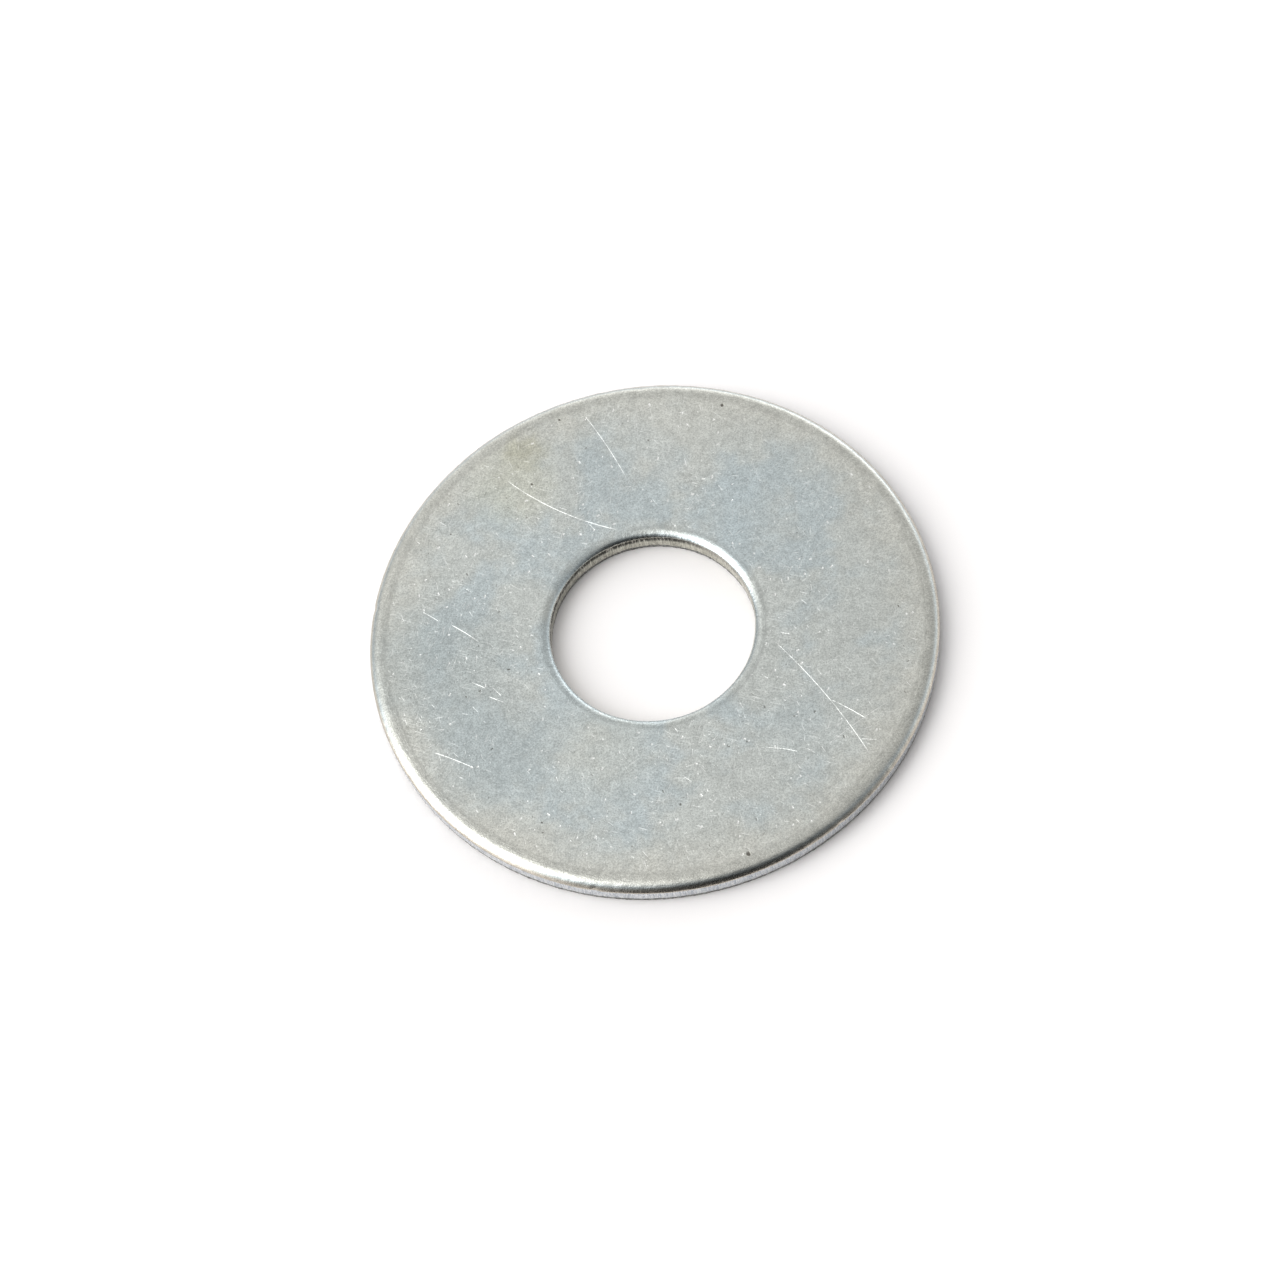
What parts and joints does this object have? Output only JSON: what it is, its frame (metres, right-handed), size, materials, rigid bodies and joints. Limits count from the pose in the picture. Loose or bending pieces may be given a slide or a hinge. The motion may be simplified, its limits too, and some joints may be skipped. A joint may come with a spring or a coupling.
{
  "type": "flat washer",
  "caption": "Thin round flat washer with a wide face, a plain central bore and die-rolled top edges, in zinc-plated steel.",
  "frame": {"origin": "centre of the bore at the underside, where the washer rests", "axes": "+Z along the bore axis, out of the rolled (punch entry) side; X and Y lie in the underside and have no preferred direction, because the washer is round"},
  "size_m": [0.0381, 0.038, 0.0016],
  "materials": {
    "zinc_plated_steel": "dull bright zinc with a faint blue and straw passivation, grained and lightly scratched"
  },
  "bodies": {
    "root": {"washer": "zinc_plated_steel"}
  },
  "joints": []
}
